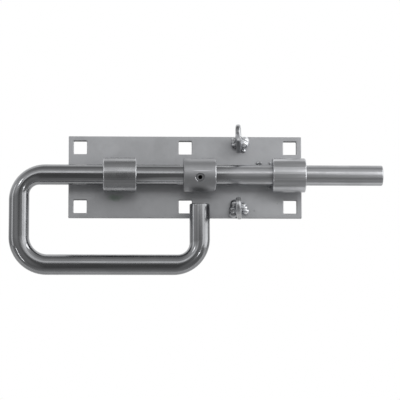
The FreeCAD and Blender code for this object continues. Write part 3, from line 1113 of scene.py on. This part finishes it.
def spatter_tree():
    tree, given, result = start_group(
        "Spatter", "GeometryNodeTree",
        [("Geometry", "geometry"), ("Finish", "material")], [("Geometry", "geometry")])
    points = add(tree, "GeometryNodeMeshToPoints", {"Mesh": given["Geometry"]})
    ball = add(tree, "GeometryNodeMeshIcoSphere", {"Radius": 1.0, "Subdivisions": 3})
    radius = add(tree, "GeometryNodeInputNamedAttribute", {"Name": "radius_of_ball"},
                 data_type="FLOAT")
    depth = calc(tree, "MULTIPLY", radius, BALL_FLATNESS)
    size = add(tree, "ShaderNodeCombineXYZ", {0: radius, 1: depth, 2: radius})
    thrown = add(tree, "GeometryNodeInstanceOnPoints",
                 {"Points": points, "Instance": ball, "Scale": size})
    real = add(tree, "GeometryNodeRealizeInstances", {"Geometry": thrown})
    return dress(tree, real, given["Finish"], result)


spots = bmesh.new()
for x, z, radius in SPATTER:
    spots.verts.new((x * MM, PLATE_FRONT - BALL_LIFT * radius * MM, z * MM))
spot_mesh = to_mesh(spots, "weld_spatter")
ball_radius = spot_mesh.attributes.new("radius_of_ball", "FLOAT", "POINT")
for point, (x, z, radius) in zip(ball_radius.data, SPATTER):
    point.value = radius * MM
spatter = grow("weld_spatter", spatter_tree(), {"Finish": WELD_ZINC}, spot_mesh)
paint_faces(spatter, DULL_SPATTER, lambda face: face.center.x > DULL_FROM_X)
place_piece(spatter, WELD_ZINC, "mounting_plate")

# %% [markdown]
# Polished and plated metal shows its surroundings, so the studio matters as much as the finish. The
# backdrop behind the bolt is white for every kind of ray, so the metal mirrors the same white that
# the camera sees. On the camera's side the room is dim: brightest where the wall meets the ceiling,
# and darkest straight ahead, where the photographer stands.

# %% World
SKY = (
    # elevation in degrees, brightness
    (-90, 0.42), (-62, 0.32), (-38, 0.28), (-12, 0.30), (4, 0.36),
    (15, 0.66), (30, 0.78), (48, 0.60), (64, 0.38), (90, 0.26),
)
FIGURE_HALF_WIDTH = math.radians(17)
FIGURE_TOP = math.radians(20)
FIGURE_DEPTH = 0.60
# The backdrop leans forward overhead, so it is seen sooner above the bolt than beside it.
BACKDROP_FROM = 0.60
BACKDROP_FULL = 0.95
BACKDROP_LEAN = 0.60
SIDE_WALL = 0.75
# Soft ends: the figure's feet and head between two elevations, the side wall between two X.
FIGURE_FEET = (math.radians(-60), math.radians(-35))
FIGURE_HEAD = (FIGURE_TOP * 0.3, FIGURE_TOP)
SIDE_WALL_FADE = (0.86, 0.98)


def studio_world():
    world = bpy.data.worlds.new("Studio")
    world.use_nodes = True
    bpy.context.scene.world = world
    tree = world.node_tree
    background = tree.nodes["Background"]
    direction = add(tree, "ShaderNodeTexCoord").outputs["Generated"]
    parts = add(tree, "ShaderNodeSeparateXYZ", {0: direction}).outputs
    rise = calc(tree, "ARCSINE", parts["Z"])
    towards = calc(tree, "MULTIPLY", parts["Y"], -1.0)
    side = calc(tree, "ABSOLUTE", calc(tree, "ARCTAN2", parts["X"], towards))
    half = math.pi / 2
    share = remap(tree, rise, -half, half, 0.0, 1.0, smooth=False)
    ramp = add(tree, "ShaderNodeValToRGB", {0: share})
    ramp.color_ramp.interpolation = "EASE"
    stops = ramp.color_ramp.elements
    while len(stops) < len(SKY):
        stops.new(0.5)
    for stop, (elevation, level) in zip(stops, SKY):
        stop.position = (elevation + 90) / 180
        stop.color = (level, level, level, 1.0)
    ahead = remap(tree, side, 0.0, FIGURE_HALF_WIDTH, 1.0, 0.0)
    below = remap(tree, rise, *FIGURE_HEAD, 1.0, 0.0)
    above = remap(tree, rise, *FIGURE_FEET, 0.0, 1.0)
    figure = calc(tree, "MULTIPLY", calc(tree, "MULTIPLY", ahead, below), above)
    room = calc(tree, "MULTIPLY", ramp.outputs["Color"],
                calc(tree, "MULTIPLY_ADD", figure, -FIGURE_DEPTH, 1.0))
    room = calc(tree, "MAXIMUM", room, remap(tree, parts["X"], *SIDE_WALL_FADE, 0.0, SIDE_WALL))
    behind = calc(tree, "MULTIPLY_ADD", parts["Z"], BACKDROP_LEAN, parts["Y"])
    backdrop = remap(tree, behind, BACKDROP_FROM, BACKDROP_FULL, 0.0, 1.0)
    level = add(tree, "ShaderNodeMix", {0: backdrop, 2: room, 3: 1.0}, data_type="FLOAT")
    tree.links.new(level.outputs[0], background.inputs["Color"])


studio_world()

# %% [markdown]
# The floor is a pale sheet well below the bolt, under the backdrop. It ends below the plate, so the
# front of the bar mirrors the dim room and not the floor.

# %% Floor
FLOOR_DROP = 0.45
FLOOR_SPAN = 3.0
FLOOR_FRONT = 0.0
FLOOR_GREY = 0.85
floor_mesh = bmesh.new()
corners = ((-FLOOR_SPAN, FLOOR_FRONT), (FLOOR_SPAN, FLOOR_FRONT),
           (FLOOR_SPAN, FLOOR_SPAN), (-FLOOR_SPAN, FLOOR_SPAN))
floor_mesh.faces.new([floor_mesh.verts.new((x, y, -FLOOR_DROP)) for x, y in corners])
floor = make_object("studio_floor", to_mesh(floor_mesh, "studio_floor"))
floor_paint = bpy.data.materials.new("floor_paint")
floor_paint.use_nodes = True
floor_shader = floor_paint.node_tree.nodes["Principled BSDF"]
floor_shader.inputs["Base Color"].default_value = (FLOOR_GREY, FLOOR_GREY, FLOOR_GREY, 1.0)
floor_shader.inputs["Roughness"].default_value = 0.9
floor.data.materials.append(floor_paint)

# %% [markdown]
# Each lamp is a rectangle that faces the bolt. Its strength is given as the brightness of its face,
# where 1 is white, because that is what a shiny bar mirrors. The soft boxes are broad. The small
# spots and the strip are brighter than white, and only the bends and the welds catch them.

# %% Lamps
LAMPS = (
    # name, where it stands, where it points, width, height, brightness of its face
    ("high_front_box", (0.10, -1.30, 0.53), (0.0, 0.0, 0.0), 1.3, 0.46, 0.62),
    ("near_right_box", (0.56, -0.52, 0.16), (0.12, 0.0, 0.0), 0.50, 0.5, 0.95),
    ("right_box", (1.18, -0.24, 0.15), (0.0, 0.0, 0.0), 0.80, 0.8, 1.25),
    ("left_box", (-1.18, -0.22, 0.16), (0.0, 0.0, 0.0), 0.26, 0.8, 0.9),
    ("high_left_spot", (-0.87, -0.92, 0.57), (-0.07, 0.0, 0.0), 0.16, 0.22, 6.0),
    ("front_right_spot", (0.71, -1.07, -0.32), (-0.07, 0.0, -0.04), 0.16, 0.12, 7.0),
    ("low_left_strip", (-1.11, -0.70, -0.61), (-0.15, 0.0, -0.08), 0.06, 0.60, 6.0),
    ("high_right_box", (0.83, -0.36, 0.68), (-0.16, 0.0, -0.08), 0.30, 0.26, 3.5),
)


def add_lamp(name, stand, target, width, height, brightness):
    data = bpy.data.lights.new(name, "AREA")
    data.shape = "RECTANGLE"
    data.size = width
    data.size_y = height
    data.energy = brightness * math.pi * width * height
    lamp = make_object(name, data)
    away = (Vector(stand) - Vector(target)).normalized()
    turn = away.to_track_quat("Z", "Y").to_matrix().to_4x4()
    lamp.matrix_world = Matrix.Translation(stand) @ turn


for lamp_values in LAMPS:
    add_lamp(*lamp_values)

# %% [markdown]
# The photograph was taken from slightly below and to the left, with a long lens. The camera's turn
# is three angles, its target is a point of the plate's back plane, and its distance is along its
# own line of sight.

# %% Camera
CAMERA_YAW = 0.04325
CAMERA_PITCH = -0.11958
CAMERA_ROLL = -0.00211
CAMERA_TARGET = Vector((14.71 * MM, 0.0, -21.94 * MM))
CAMERA_DISTANCE = 1.8388
FOCAL_PIXELS = 1860.45
PICTURE_PIXELS = 400

camera_data = bpy.data.cameras.new("camera")
camera = make_object("camera", camera_data)
to_camera = (Matrix.Rotation(CAMERA_ROLL, 3, "Y") @ Matrix.Rotation(CAMERA_PITCH, 3, "X")
             @ Matrix.Rotation(CAMERA_YAW, 3, "Z"))
right, forward, up = to_camera[0], to_camera[1], to_camera[2]
turn = Matrix((right, up, -forward)).transposed().to_4x4()
camera.matrix_world = Matrix.Translation(CAMERA_TARGET - forward * CAMERA_DISTANCE) @ turn
camera_data.lens = FOCAL_PIXELS / PICTURE_PIXELS * camera_data.sensor_width
camera_data.clip_start = 0.05
camera_data.clip_end = 50.0
bpy.context.scene.camera = camera
bpy.context.scene.view_settings.view_transform = "Standard"
print("lens %.1f mm, camera at" % camera_data.lens,
      [round(v, 3) for v in camera.matrix_world.translation])
